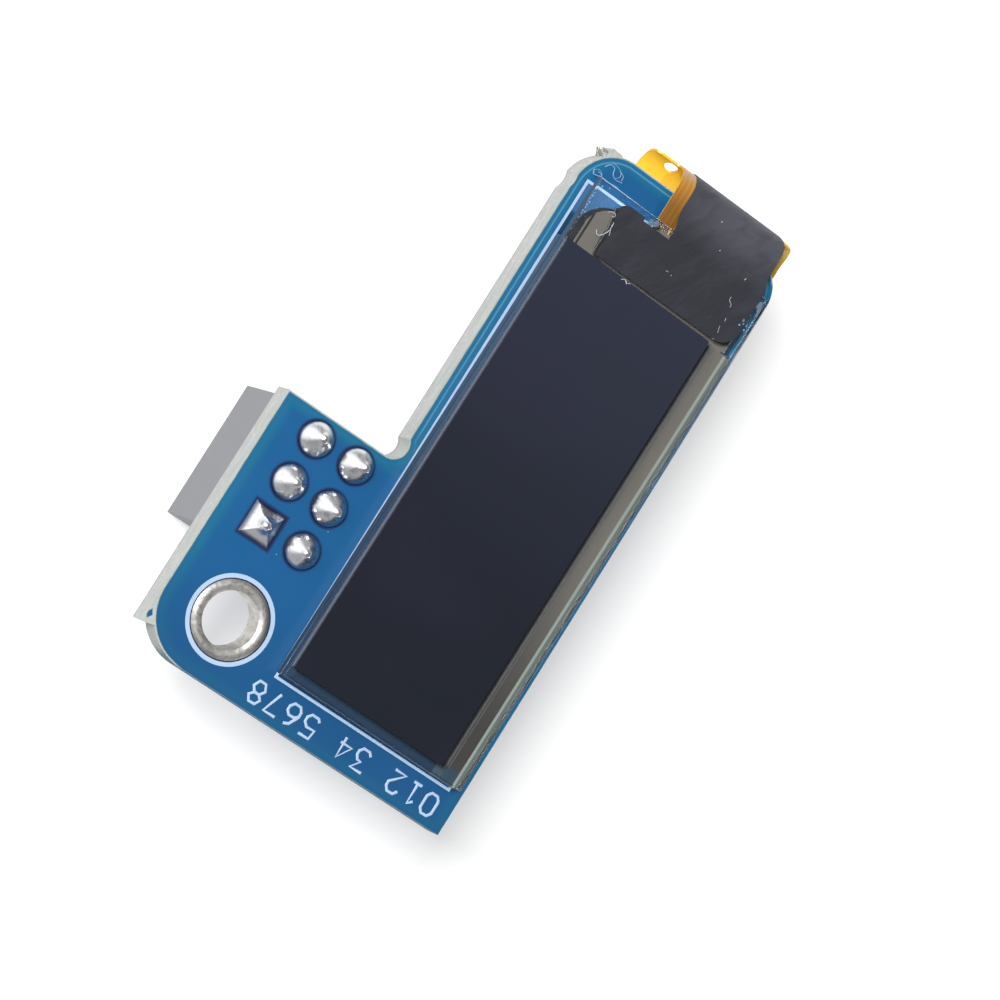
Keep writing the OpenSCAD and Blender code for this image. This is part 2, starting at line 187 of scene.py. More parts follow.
def plug(tree, socket, value):
    """Links a wire to a socket, or sets the socket to a plain value."""
    if isinstance(value, Wire):
        tree.links.new(value.socket, socket)
    elif socket.type == "RGBA":
        socket.default_value = (*value, 1.0)
    else:
        socket.default_value = value


class Finish:
    """One material. Its colour, roughness and relief are formulas of the place in millimetres."""

    def __init__(self, name, roughness=0.5, metallic=0.0, **constants):
        self.material = bpy.data.materials.new(name)
        self.material.use_nodes = True
        self.tree = self.material.node_tree
        self.shader = self.tree.nodes["Principled BSDF"]
        self.set("Roughness", roughness)
        self.set("Metallic", metallic)
        for socket, value in constants.items():
            self.set(socket.replace("_", " ").title().replace("Ior", "IOR"), value)
        coordinates = self.tree.nodes.new("ShaderNodeTexCoord")
        scaled = self.tree.nodes.new("ShaderNodeVectorMath")
        scaled.operation = "SCALE"
        scaled.inputs["Scale"].default_value = 1 / MM
        self.tree.links.new(coordinates.outputs["Object"], scaled.inputs[0])
        self.place = Wire(self.tree, scaled.outputs[0])
        self.normal = Wire(self.tree, coordinates.outputs["Normal"])

    def set(self, socket, value):
        plug(self.tree, self.shader.inputs[socket], value)

    def axes(self, vector=None):
        """The three numbers of a vector: the place, unless another is given."""
        node = self.tree.nodes.new("ShaderNodeSeparateXYZ")
        plug(self.tree, node.inputs[0], vector or self.place)
        return [Wire(self.tree, socket) for socket in node.outputs]

    def turned(self, centre, angle):
        """The place turned by an angle about an upright line through centre."""
        node = self.tree.nodes.new("ShaderNodeVectorRotate")
        node.rotation_type = "Z_AXIS"
        plug(self.tree, node.inputs["Vector"], self.place)
        node.inputs["Center"].default_value = centre
        node.inputs["Angle"].default_value = angle
        return Wire(self.tree, node.outputs[0])

    def stretched(self, scale, vector=None):
        """The place stretched along each axis, for a pattern that runs one way."""
        node = self.tree.nodes.new("ShaderNodeMapping")
        plug(self.tree, node.inputs["Vector"], vector or self.place)
        node.inputs["Scale"].default_value = scale
        return Wire(self.tree, node.outputs[0])

    def reach(self, x, y, centre):
        """Distance from an upright line through centre."""
        across = x - centre[0]
        along = y - centre[1]
        return maths(self.tree, "SQRT", across * across + along * along)

    def noise(self, size, detail=2.0, roughness=0.5, vector=None, warp=0.0):
        """Soft noise from 0 to 1 with features about size millimetres across."""
        node = self.tree.nodes.new("ShaderNodeTexNoise")
        plug(self.tree, node.inputs["Vector"], vector or self.place)
        node.inputs["Scale"].default_value = 1 / size
        node.inputs["Detail"].default_value = detail
        node.inputs["Roughness"].default_value = roughness
        node.inputs["Distortion"].default_value = warp
        return Wire(self.tree, node.outputs["Fac"])

    def specks(self, cell, radius, share, vector=None):
        """Sparse round specks: one cell in so many holds a speck of the given radius."""
        node = self.tree.nodes.new("ShaderNodeTexVoronoi")
        plug(self.tree, node.inputs["Vector"], vector or self.place)
        node.inputs["Scale"].default_value = 1 / cell
        chosen = self.axes(Wire(self.tree, node.outputs["Color"]))[0].under(share, 0.01)
        near = Wire(self.tree, node.outputs["Distance"]).under(radius / cell, radius / cell)
        return near * chosen

    def mix(self, mask, below, above):
        """The colour above where the mask is 1, and the colour below where it is 0."""
        node = self.tree.nodes.new("ShaderNodeMix")
        node.data_type = "RGBA"
        plug(self.tree, node.inputs[0], mask)
        plug(self.tree, node.inputs[6], below)
        plug(self.tree, node.inputs[7], above)
        return Wire(self.tree, node.outputs[2])

    def layered(self, colour, *layers):
        """A colour with tones laid over it in turn, each given as its mask and screen colour."""
        for mask, *tone in layers:
            colour = self.mix(mask, colour, ink(*tone))
        return colour

    def relief(self, height):
        """Bump from a height in millimetres."""
        node = self.tree.nodes.new("ShaderNodeBump")
        node.inputs["Strength"].default_value = 1.0
        node.inputs["Distance"].default_value = MM
        plug(self.tree, node.inputs["Height"], height)
        plug(self.tree, self.shader.inputs["Normal"], Wire(self.tree, node.outputs[0]))

    def clear_where(self, mask):
        """Lets what is behind show through where the mask is 1."""
        nodes = self.tree.nodes
        mixer = nodes.new("ShaderNodeMixShader")
        gap = nodes.new("ShaderNodeBsdfTransparent")
        plug(self.tree, mixer.inputs[0], mask)
        self.tree.links.new(self.shader.outputs[0], mixer.inputs[1])
        self.tree.links.new(gap.outputs[0], mixer.inputs[2])
        self.tree.links.new(mixer.outputs[0], nodes["Material Output"].inputs["Surface"])

    def let_lamps_through(self, colour):
        """Clear glass: lamps shine through it, coloured, so what it covers stays lit."""
        path = self.tree.nodes.new("ShaderNodeLightPath")
        self.clear_where(Wire(self.tree, path.outputs["Is Shadow Ray"]))
        self.tree.nodes["Transparent BSDF"].inputs["Color"].default_value = (*colour, 1.0)


def dress(finish, *nodes):
    """Gives the finish to nodes of the frame."""
    for name in nodes:
        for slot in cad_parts[name].material_slots:
            slot.material = finish.material


# ---- Modelling ----


def select_only(*pieces):
    """Selects just these pieces, with the first one active."""
    bpy.ops.object.select_all(action="DESELECT")
    for piece in pieces:
        piece.select_set(True)
    bpy.context.view_layer.objects.active = pieces[0]


@contextmanager
def editing(piece):
    """Edit mode on one piece."""
    select_only(piece)
    bpy.ops.object.mode_set(mode="EDIT")
    yield
    bpy.ops.object.mode_set(mode="OBJECT")


def started(name):
    """Names the piece that an add operator has just made."""
    piece = bpy.context.object
    piece.name = name
    piece.data.name = name
    return piece


def disc(name, vertices, radius, place):
    """A flat disc with its radius and centre in millimetres."""
    bpy.ops.object.select_all(action="DESELECT")
    bpy.ops.mesh.primitive_circle_add(vertices=vertices, radius=radius * MM, fill_type="NGON",
                                      location=Vector(place) * MM)
    return started(name)


def thicken(height):
    """Draws the open piece's flat faces up by a height in millimetres."""
    bpy.ops.mesh.select_all(action="SELECT")
    bpy.ops.mesh.extrude_region_move(TRANSFORM_OT_translate={"value": (0, 0, height * MM)})
    bpy.ops.mesh.select_all(action="SELECT")
    bpy.ops.mesh.normals_make_consistent(inside=False)


def finished(piece, finish, slot, *replaced):
    """Applies a piece's place, gives it its finish and ties it to the frame."""
    select_only(piece)
    bpy.ops.object.transform_apply(location=True, rotation=True, scale=True)
    piece.data.materials.clear()
    piece.data.materials.append(finish.material)
    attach(piece, BODY)
    if replaced:
        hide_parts(*replaced)
    return piece


def thread(name, points, radius, flatten=1.0, kind="NURBS"):
    """A thin round thread through points in millimetres, as a closed mesh."""
    bpy.ops.object.select_all(action="DESELECT")
    bpy.ops.curve.primitive_nurbs_path_add()
    piece = started(name)
    curve = piece.data
    curve.splines.clear()
    spline = curve.splines.new(kind)
    spline.points.add(len(points) - 1)
    for knot, place in zip(spline.points, points):
        knot.co = (*(Vector(place) * MM), 1.0)
    if kind == "NURBS":
        spline.use_endpoint_u = True
        spline.order_u = min(3, len(points))
        spline.resolution_u = 6
    curve.bevel_depth = radius * MM
    curve.bevel_resolution = 2
    curve.use_fill_caps = True
    bpy.ops.object.convert(target="MESH")
    if flatten != 1.0:
        with editing(piece):
            bpy.ops.mesh.select_all(action="SELECT")
            low = min(place[2] for place in points) * MM
            bpy.ops.transform.resize(value=(1, 1, flatten), center_override=(0, 0, low))
    return piece


def joined(name, pieces):
    """Joins pieces into one mesh."""
    select_only(*pieces)
    bpy.ops.object.join()
    return started(name)


# ---- Sizes and colours a user would change ----


def tint(name, description, red, green, blue):
    """A colour setting, given as a screen colour."""
    return bpy.props.FloatVectorProperty(
        name=name, description=description, subtype="COLOR", size=3, min=0, max=1,
        default=ink(red, green, blue))


class BoardSettings(bpy.types.PropertyGroup):
    mask: tint("Solder mask", "Colour of the mask over copper", 18, 84, 134)
    mask_bare: tint("Bare mask", "Colour of the mask over bare laminate", 22, 98, 132)
    laminate: tint("Laminate", "Colour of the cut glass-fibre laminate", 168, 171, 168)
    silk: tint("Silkscreen", "Colour of the printed marks", 168, 190, 216)
    silk_width: bpy.props.FloatProperty(
        name="Silkscreen stroke", description="Width of the printed lines",
        unit="LENGTH", min=0.0001, max=0.0004, default=0.00015)


class SolderSettings(bpy.types.PropertyGroup):
    colour: tint("Solder", "Colour of the solder", 214, 214, 216)
    tin: tint("Tin", "Colour of the tinned ring", 206, 204, 198)


class PanelSettings(bpy.types.PropertyGroup):
    polarizer: tint("Polarizer", "Colour of the polarizer over the dark panel", 22, 26, 36)
    # film is the traces' colour where painted light falls on them, film_shade their colour in
    # painted shade toward the near end
    film: tint("Traces", "Colour of the row traces where they lie close together", 146, 138, 130)
    film_shade: tint("Traces, shaded", "Colour of the row traces beside the display area",
                     83, 79, 78)


class FlexSettings(bpy.types.PropertyGroup):
    film: tint("Flex film", "Colour of the bare polyimide film", 255, 196, 40)
    neck: tint("Flex over copper", "Colour of the film over copper", 176, 122, 42)
    tape: tint("Tape", "Colour of the black tape", 40, 41, 48)


class StageSettings(bpy.types.PropertyGroup):
    camera_place: bpy.props.FloatVectorProperty(
        name="Camera place", description="Where the camera stands",
        unit="LENGTH", size=3, default=(-0.07645, -0.02006, 0.22286))
    camera_turn: bpy.props.FloatVectorProperty(
        name="Camera turn", description="How the camera is turned", subtype="EULER", size=3,
        default=(math.radians(-6.877), math.radians(-21.690), math.radians(34.608)))
    lens: bpy.props.FloatProperty(
        name="Lens", description="Focal length on a 36 mm sensor, in millimetres",
        min=50, max=300, default=162.68)
    key_power: bpy.props.FloatProperty(
        name="Key light", description="Power of the large softbox", unit="POWER",
        min=0, max=100, default=5.2)
    floor_grey: bpy.props.FloatProperty(
        name="Floor", description="How much light the floor throws back",
        subtype="FACTOR", min=0, max=1, default=0.6)
    floor_lift: bpy.props.FloatProperty(
        name="Floor lift", description="Extra white of the floor where it is seen",
        min=0, max=1, default=0.44)


# ---- Board ----

SPUR = (-3.78, -9.32)  # the torn tip of mask on the tab's near left corner
FOOT_SHADE_RADIUS = 1.06  # dark ring round each joint: the mask's opening, with painted shade at the joint's foot
BARE_RADIUS = 2.14  # edge of the mask round the mounting hole
CAP_END = 19.6  # far end of the rear glass


def inside_rounded_box(x, y, low, high, radius):
    """Signed distance to a rounded rectangle, negative inside."""
    across = (x - (low[0] + high[0]) / 2).size() - ((high[0] - low[0]) / 2 - radius)
    along = (y - (low[1] + high[1]) / 2).size() - ((high[1] - low[1]) / 2 - radius)
    outer_x = across.most(0.0)
    outer_y = along.most(0.0)
    outer = maths(x.tree, "SQRT", outer_x * outer_x + outer_y * outer_y)
    return outer + across.most(along).least(0.0) - radius


def board_distance(f, x, y):
    """Signed distance to the board's routed outline, negative inside."""
    low, high = BOARD_LOW, BOARD_HIGH
    left = inside_rounded_box(x, y, (ARM_LEFT, low.y - 9), (high.x + 9, high.y), LEFT_ROUND)
    right = inside_rounded_box(x, y, (ARM_LEFT - 9, low.y - 9), (high.x, high.y), RIGHT_ROUND)
    arm = left.most(right).most(low.y - y)
    tab = inside_rounded_box(x, y, (low.x, low.y), (20, 20), TAB_ROUND)
    tab = tab.most(y - TAB_TOP).most(x - 8)
    web = (TURN[0] - x).most(y - TURN[1]).most(TAB_TOP - 1 - y).most(x - 8)
    return arm.least(tab).least(web).most(TURN_ROUND - f.reach(x, y, TURN))


def laminate_colour(f, z, settings):
    """Cut glass-fibre laminate: pale, with lengthwise bundles, olive under the mask, and painted
    shade on its near-facing side.
    """
    bundles = f.noise(0.5, 3.0, 0.6, vector=f.stretched((0.28, 0.28, 4.5)))
    fuzz = f.noise(0.16, 2.0)
    lumps = (fuzz - 0.5) * 0.25
    # painted shade: the side that faces the near end is darker and bluer
    near = f.axes(f.normal)[1].under(-0.93, 0.1)
    return f.layered(
        settings.laminate,
        (bundles.over(0.55, 0.3) * 0.6, 198, 198, 196),
        (fuzz.over(0.66, 0.12) * 0.35, 232, 226, 220),
        (z.over(BOARD_TOP - 0.22, 0.5) * 0.55, 168, 178, 168),
        ((z + lumps).under(BOARD_LOW.z + 0.12, 0.12) * 0.6, 150, 146, 160),
        (near * 0.85, 82, 108, 126))


def board_finish(settings):
    """Blue solder mask over copper and laminate, with bare laminate at the cut edges."""
    f = Finish("solder_mask_board", roughness=0.3, specular_ior_level=0.4)
    x, y, z = f.axes()
    up = f.axes(f.normal)[2]
    top = up.over(0.5, 0.1)
    bottom = up.under(-0.5, 0.1)
    wobble = f.noise(0.4, 3.0) - 0.5
    distance = board_distance(f, x, y) + wobble * 0.04
    spur = ((x - SPUR[0]).size() * 1.5 + (y - SPUR[1]).size()).under(0.27, 0.1)
    near = y.under(BOARD_LOW.y + 0.7, 0.2) * x.over(-1.0, 1.0)
    trimmed = distance - near.most(x.over(BOARD_HIGH.x - 0.4, 0.2)) * 0.08
    masked = (top + bottom) * trimmed.under(-0.08, 0.07).most(spur)
    # painted highlight: a thin light line along the edge of the copper pour under the mask
    pour_edge_highlight = distance.between(-0.375, -0.285, 0.05)
    along_arm = x.over(ARM_LEFT - 0.2) * y.over(5.5, 2.0)
    foot = pin_distance(f, x, y).under(FOOT_SHADE_RADIUS, 0.14) * top
    # painted shade: the mask darkened under the panel
    under_panel_shade = x.between(3.66, 15.3, 0.06) * y.between(-8.5, CAP_END, 0.5) * top
    # painted sheen: the mask lighter and greyer where it is seen through the front glass past the
    # rear glass
    glass_sheen = x.between(3.7, 8.0, 0.1) * y.between(CAP_END, 21.4, 0.1) * top
    wires = back_wires(f, x, y) * bottom
    colour = f.layered(
        f.mix(distance.under(-0.62, 0.5), settings.mask_bare, settings.mask),
        (pour_edge_highlight * (0.03 + along_arm * 0.5), 96, 158, 196),
        (f.noise(7.0, 2.0).over(0.5, 0.5) * 0.3, 32, 100, 146),
        (y.under(BOARD_LOW.y + 3.5, 7.0) * 0.55, 20, 68, 112),
        # painted shade round each joint's foot, over the mask's opening
        (foot * 0.9, 27, 36, 74),
        (under_panel_shade * 0.7, 14, 34, 56),
        (glass_sheen * 0.4, 84, 112, 146),
        (f.reach(x, y, HOLE).under(BARE_RADIUS, 0.04), 36, 34, 56),
        (f.specks(1.6, 0.035, 0.22) * 0.5, 190, 214, 232),
        (wires, 44, 124, 172))
    f.set("Base Color", f.mix(masked, laminate_colour(f, z, settings), colour))
    f.set("Roughness", 0.78 - masked * (0.5 - f.noise(0.9, 3.0) * 0.12))
    grain = f.noise(0.12, 3.0, 0.7, vector=f.stretched((0.5, 0.5, 2.0))) * (1.0 - masked) * 0.07
    f.relief(grain + masked * 0.02 + f.noise(0.4, 2.0) * 0.003 + wires * masked * 0.015)
    return f


def back_wires(f, x, y):
    """Copper tracks on the board's back, as masks between 0 and 1."""
    flex = (FLEX_LOW.x + FLEX_HIGH.x) / 2 + 0.1
    across = (x - flex).size()
    fan = (x - flex + 0.31).wrap(0.62).under(0.09, 0.03) * across.under(4.3) * y.between(17.3, 19.6)
    chips = (x - 6.6).wrap(2.1).under(0.42, 0.03) * y.between(15.1, 17.5) * x.between(6.0, 15.5)
    bus = (y - 10.6).size().wrap(0.7).under(0.12, 0.03) * y.between(7.6, 11.5) * x.between(4.4, 14.6)
    down = (x - 8.0).wrap(1.6).under(0.12, 0.03) * y.between(11.0, 15.2) * x.between(4.2, 15.0)
    slope = (x - y * 0.9).wrap(0.9).under(0.1, 0.03) * y.between(-4.2, 7.7) * x.between(3.2, 9.4)
    rail = (x - 14.9).size().under(0.28, 0.03) * y.between(-9.2, 18.8)
    return fan.most(chips).most(bus).most(down).most(slope).most(rail)


def pin_distance(f, x, y):
    """Distance from the nearest of the six pins, square about the first one."""
    pins = [middle(name) for name in JOINTS]
    rows = sorted({round(place.y, 2) for place in pins})
    column = (x - pins[0].x).size().least((x - pins[-1].x).size())
    row = (y - rows[0]).size()
    for place in rows[1:]:
        row = row.least((y - place).size())
    round_reach = maths(f.tree, "SQRT", column * column + row * row)
    square_reach = (x - pins[0].x).size().most((y - pins[0].y).size())
    return round_reach.least(square_reach)


def tin_finish(settings):
    """Hot-air levelled tin: satin, streaked and a little stained."""
    f = Finish("tinned_copper", roughness=0.35, metallic=1.0)
    x, y = f.axes()[:2]
    streak = f.noise(0.5, 3.0, vector=f.stretched((1.0, 1.0, 0.3)))
    outer = f.reach(x, y, HOLE).over(1.9, 0.12)
    stain = f.noise(0.45, 4.0, 0.7, warp=1.0).over(0.55, 0.12)
    f.set("Base Color", f.layered(
        settings.tin,
        (streak.over(0.5, 0.3) * 0.5, 168, 164, 156),
        (stain * 0.45, 120, 118, 122),
        (outer * 0.5, 140, 138, 140)))
    f.set("Roughness", 0.42 + streak * 0.2)
    f.relief(f.noise(0.3, 3.0) * 0.02)
    return f


class DressBoard(bpy.types.Operator):
    """Gives the circuit board its mask, cut edges and tinned mounting hole"""

    bl_idname = "oled.dress_board"
    bl_label = "Dress Board"

    def execute(self, context):
        dress(board_finish(context.scene.oled_board), "pcb")
        dress(tin_finish(context.scene.oled_solder), "hole_plating")
        return {"FINISHED"}


# ---- Silkscreen ----

INK_THICKNESS = 0.018
OUTLINE_LOW = (3.6, -8.61)
OUTLINE_HIGH = (15.05, 21.41)
RING_RADIUS = 2.365
RING_STROKE = 0.225
DIGIT_HEIGHT = 1.15
DIGIT_WIDTH = 0.72
DIGIT_PITCH = 1.12
DIGIT_STROKE = 0.085
DIGITS = {
    "0": [[(0, 0.2), (0.25, 0), (0.75, 0), (1, 0.2), (1, 0.8), (0.75, 1), (0.25, 1), (0, 0.8),
           (0, 0.2)]],
    "1": [[(0.15, 0.8), (0.5, 1), (0.5, 0)], [(0.15, 0), (0.85, 0)]],
    "2": [[(0, 0.8), (0.25, 1), (0.75, 1), (1, 0.8), (1, 0.6), (0, 0), (1, 0)]],
    "3": [[(0, 1), (1, 1), (0.45, 0.58), (0.8, 0.56), (1, 0.36), (1, 0.18), (0.75, 0),
           (0.25, 0), (0, 0.16)]],
    "4": [[(0.75, 0), (0.75, 1), (0, 0.3), (1, 0.3)]],
    "5": [[(1, 1), (0.1, 1), (0, 0.56), (0.7, 0.58), (1, 0.4), (1, 0.18), (0.75, 0), (0.2, 0),
           (0, 0.14)]],
    "6": [[(0.8, 1), (0.4, 0.9), (0, 0.45), (0, 0.2), (0.25, 0), (0.75, 0), (1, 0.2),
           (1, 0.4), (0.75, 0.56), (0.3, 0.56), (0, 0.42)]],
    "7": [[(0, 1), (1, 1), (0.4, 0)]],
    "8": [[(0.3, 0.55), (0, 0.75), (0.25, 1), (0.75, 1), (1, 0.75), (0.7, 0.55), (0.3, 0.55),
           (0, 0.3), (0.25, 0), (0.75, 0), (1, 0.3), (0.7, 0.55)]],
}
MARKING = "012 34 5678"
MARKING_START = 14.85
MARKING_INSET = 1.66


def silk_finish(settings):
    """Printed white ink, a little thin where it lies over the mask."""
    f = Finish("silkscreen_ink", roughness=0.55, specular_ior_level=0.35)
    thin = f.noise(0.16, 3.0).over(0.62, 0.3)
    f.set("Base Color", f.mix(thin * 0.3, settings.silk, ink(130, 170, 208)))
    f.relief(f.noise(0.08, 2.0) * 0.01)
    return f


def stroke_path(points):
    """A stroke of the marking as a flat ribbon of ink, round at its turns."""
    return thread("stroke", points, DIGIT_STROKE, INK_THICKNESS / DIGIT_STROKE, kind="POLY")


class PrintMarks(bpy.types.Operator):
    """Prints the display outline, the ring round the hole and the row of numbers"""

    bl_idname = "oled.print_marks"
    bl_label = "Print Marks"

    def execute(self, context):
        settings = context.scene.oled_board
        finish = silk_finish(settings)
        self.outline(settings, finish)
        self.ring(finish)
        self.numbers(finish)
        return {"FINISHED"}

    def outline(self, settings, finish):
        """The rectangle that shows where the panel belongs."""
        low, high = Vector(OUTLINE_LOW), Vector(OUTLINE_HIGH)
        bpy.ops.object.select_all(action="DESELECT")
        bpy.ops.mesh.primitive_plane_add(
            size=MM, location=(*((low + high) / 2 * MM), BOARD_TOP * MM))
        piece = started("silkscreen_outline")
        piece.scale = (*(high - low), 1)
        bpy.ops.object.transform_apply(location=False, rotation=False, scale=True)
        self.stroke(piece, settings.silk_width)
        finished(piece, finish, "board")

    def ring(self, finish):
        """The circle printed round the mounting hole."""
        piece = disc("silkscreen_ring", 96, RING_RADIUS, (HOLE.x, HOLE.y, BOARD_TOP))
        self.stroke(piece, RING_STROKE * MM)
        finished(piece, finish, "board")

    def stroke(self, piece, width):
        """Leaves only a band of ink along the edge of a flat face."""
        with editing(piece):
            bpy.ops.mesh.select_all(action="SELECT")
            bpy.ops.mesh.inset(thickness=width)
            bpy.ops.mesh.delete(type="FACE")
            thicken(INK_THICKNESS)

    def numbers(self, finish):
        """A row of plain numbers along the near end, read from the far side."""
        strokes = []
        for place, digit in enumerate(MARKING):
            for stroke in DIGITS.get(digit, []):
                points = [(MARKING_START - DIGIT_PITCH * place - DIGIT_WIDTH * u,
                           BOARD_LOW.y + MARKING_INSET - DIGIT_HEIGHT * v, BOARD_TOP)
                          for u, v in stroke]
                strokes.append(stroke_path(points))
        finished(joined("silkscreen_numbers", strokes), finish, "board")


# ---- Socket ----


def plastic_finish():
    """Grey moulded nylon with fine spark texture, scuffs and specks."""
    f = Finish("grey_nylon", roughness=0.45)
    cloud = f.noise(2.5, 3.0)
    f.set("Base Color", f.layered(
        ink(106, 108, 112),
        (cloud, 122, 124, 128),
        (f.specks(0.6, 0.035, 0.35) * 0.8, 78, 78, 84),
        (f.specks(0.9, 0.035, 0.18, f.stretched((1.0, 1.0, 0.5))) * 0.7, 214, 214, 216)))
    f.set("Roughness", 0.38 + cloud * 0.2)
    f.relief(f.noise(0.09, 3.0, 0.6) * 0.012)
    return f


def contact_finish():
    """Gilt phosphor bronze, duller where the strip was cut."""
    f = Finish("gilt_bronze", roughness=0.25, metallic=1.0)
    cloud = f.noise(0.4, 3.0)
    f.set("Base Color", f.mix(cloud, ink(214, 178, 106), ink(190, 150, 84)))
    f.set("Roughness", 0.2 + cloud * 0.2)
    f.relief(f.noise(0.05, 2.0) * 0.006)
    return f


class DressSocket(bpy.types.Operator):
    """Gives the socket's housing and contacts their finish"""

    bl_idname = "oled.dress_socket"
    bl_label = "Dress Socket"

    def execute(self, context):
        dress(plastic_finish(), "socket_housing")
        dress(contact_finish(), *CONTACTS)
        return {"FINISHED"}


# ---- Solder ----

# Height and radius up a round joint: foot, flank, neck and the ball over the pin's tip
CONE = [(0.0, 0.965), (0.05, 0.955), (0.12, 0.93), (0.21, 0.885), (0.31, 0.82), (0.41, 0.74),
        (0.51, 0.645), (0.60, 0.545), (0.68, 0.45), (0.75, 0.37), (0.81, 0.31), (0.87, 0.265),
        (0.92, 0.225), (0.96, 0.17), (0.985, 0.11), (1.0, 0.04)]
# The same up the square joint, whose four sides are nearly flat
PYRAMID = [(0.0, 0.925), (0.04, 0.90), (0.12, 0.82), (0.22, 0.72), (0.32, 0.62), (0.42, 0.525),
           (0.52, 0.445), (0.61, 0.39), (0.69, 0.345), (0.76, 0.31), (0.83, 0.28), (0.90, 0.24),
           (0.96, 0.185), (1.0, 0.11), (1.015, 0.05)]
# How far each tip leans along X and Y, by column and row from the square joint
LEANS = {(0, 0): (-0.02, 0.0), (0, 1): (0.14, 0.10), (0, 2): (0.13, 0.18),
         (1, 0): (0.04, -0.02), (1, 1): (0.28, 0.0), (1, 2): (0.30, 0.12)}


def solder_finish(settings):
    """Bright tin solder with a few flow wrinkles and a faint skin of flux, and painted shade that
    darkens its foot where it meets the board.
    """
    f = Finish("solder", roughness=0.16, metallic=1.0)
    wrinkle = f.noise(0.6, 2.0, 0.5, warp=1.5)
    z = f.axes()[2]
    # painted shade: the solder darkened where its foot meets the board
    foot = z.between(BOARD_TOP - 0.1, BOARD_TOP + 0.16, 0.2)
    f.set("Base Color", f.layered(
        settings.colour,
        (wrinkle.over(0.6, 0.2) * 0.5, 172, 172, 178),
        (foot * 0.85, 74, 80, 104)))
    f.set("Roughness", 0.19 + f.noise(0.6, 2.0) * 0.14)
    f.relief(wrinkle * 0.012)
    return f


class DrawJoints(bpy.types.Operator):
    """Models the six drawn-up solder joints and finishes all the solder"""

    bl_idname = "oled.draw_joints"
    bl_label = "Draw Solder Joints"

    def execute(self, context):
        finish = solder_finish(context.scene.oled_solder)
        dress(finish, "flex_solder", "chip_solder")
        first = middle(JOINTS[0])
        for name in JOINTS:
            step = (middle(name) - first) / PIN_PITCH
            lean = LEANS[round(abs(step.x)), round(abs(step.y))]
            piece = self.joint(name, lean, square=name == JOINTS[0])
            finished(piece, finish, "solder", name)
        return {"FINISHED"}

    def joint(self, name, lean, square):
        """A cone of solder drawn up its pin, a little off centre."""
        centre = middle(name)
        levels = PYRAMID if square else CONE
        piece = disc(name.replace("solder_joint", "drawn_joint"), 64, levels[0][1],
                     (centre.x, centre.y, BOARD_TOP))
        with editing(piece):
            bpy.ops.mesh.select_all(action="SELECT")
            last_height, last_width = levels[0]
            for height, width in levels[1:]:
                drift = Vector(lean) * (height ** 2 - last_height ** 2) * MM
                bpy.ops.mesh.extrude_region_move(TRANSFORM_OT_translate={
                    "value": (drift.x, drift.y, (height - last_height) * MM)})
                bpy.ops.transform.resize(value=(width / last_width, width / last_width, 1))
                last_height, last_width = height, width
            bpy.ops.mesh.poke(offset=0.005 * MM)
            bpy.ops.mesh.select_all(action="SELECT")
            bpy.ops.mesh.normals_make_consistent(inside=False)
        if square:
            self.squared(piece)
            bpy.ops.object.shade_smooth_by_angle(angle=math.radians(24))
        else:
            bpy.ops.object.shade_smooth()
        return piece

    def squared(self, piece):
        """Turns a round joint into one with a square foot that blends into a round tip."""
        for vertex in piece.data.vertices:
            angle = math.atan2(vertex.co.y, vertex.co.x)
            share = max(0.0, 1 - vertex.co.z / (0.78 * MM))
            wide = 1 / max(abs(math.cos(angle)), abs(math.sin(angle)))
            wide = 1 + (wide - 1) * share ** 0.3
            vertex.co.x *= wide
            vertex.co.y *= wide


# ---- Display panel ----

SEAL_THICKNESS = 0.015


def panel_axes(f):
    """The place on the panel, straightened, across and along from the panel's centre."""
    x, y = f.axes(f.turned(tuple(PANEL), PANEL_SKEW))[:2]
    return x - PANEL.x, y - PANEL.y


def glass_finish(name, colour):
    """Clear float glass with cut walls: lamps shine through it and what lies under it shows."""
    f = Finish(name, roughness=0.03, transmission_weight=1.0, ior=1.5)
    wall = f.axes(f.normal)[2].size().under(0.5, 0.2)
    smear = f.noise(3.0, 3.0)
    far = f.axes()[1].over(4.0, 24.0)
    grime = f.noise(1.5, 3.0, vector=f.stretched((1.0, 0.3, 1.0))).over(0.55, 0.3)
    # painted view: the nearly opaque cut walls carry the dark blue of the board seen through the
    # glass, lighter toward the far end
    cut = f.layered(ink(20, 38, 58), (far, 40, 60, 82), (grime * 0.4, 50, 68, 88))
    clear = f.mix(smear * 0.3, colour, ink(235, 240, 240))
    f.set("Base Color", f.mix(wall, clear, cut))
    f.set("Transmission Weight", 1.0 - wall * 0.92)
    f.set("Roughness", 0.01 + smear.over(0.6, 0.4) * 0.05 + wall * 0.3)
    f.let_lamps_through(colour)
    return f


def polarizer_finish(settings):
    """Dark neutral film with a faint violet cast, dust and a soft anti-glare skin, and a painted
    reflection that lightens it toward the far end.
    """
    f = Finish("polarizer_film", roughness=0.25, specular_ior_level=0.45)
    cast = f.noise(9.0, 1.0)
    # painted reflection: the film lighter toward the far end
    far_reflection = panel_axes(f)[1].over(2.0, 22.0)
    f.set("Base Color", f.layered(
        settings.polarizer,
        (far_reflection, 38, 42, 56),
        (cast.over(0.52, 0.25) * 0.25, 36, 34, 54),
        (f.specks(1.3, 0.03, 0.12) * 0.5, 150, 155, 165)))
    f.set("Roughness", 0.2 + f.noise(2.0, 3.0) * 0.1)
    f.relief(f.noise(0.05, 2.0) * 0.0015)
    return f


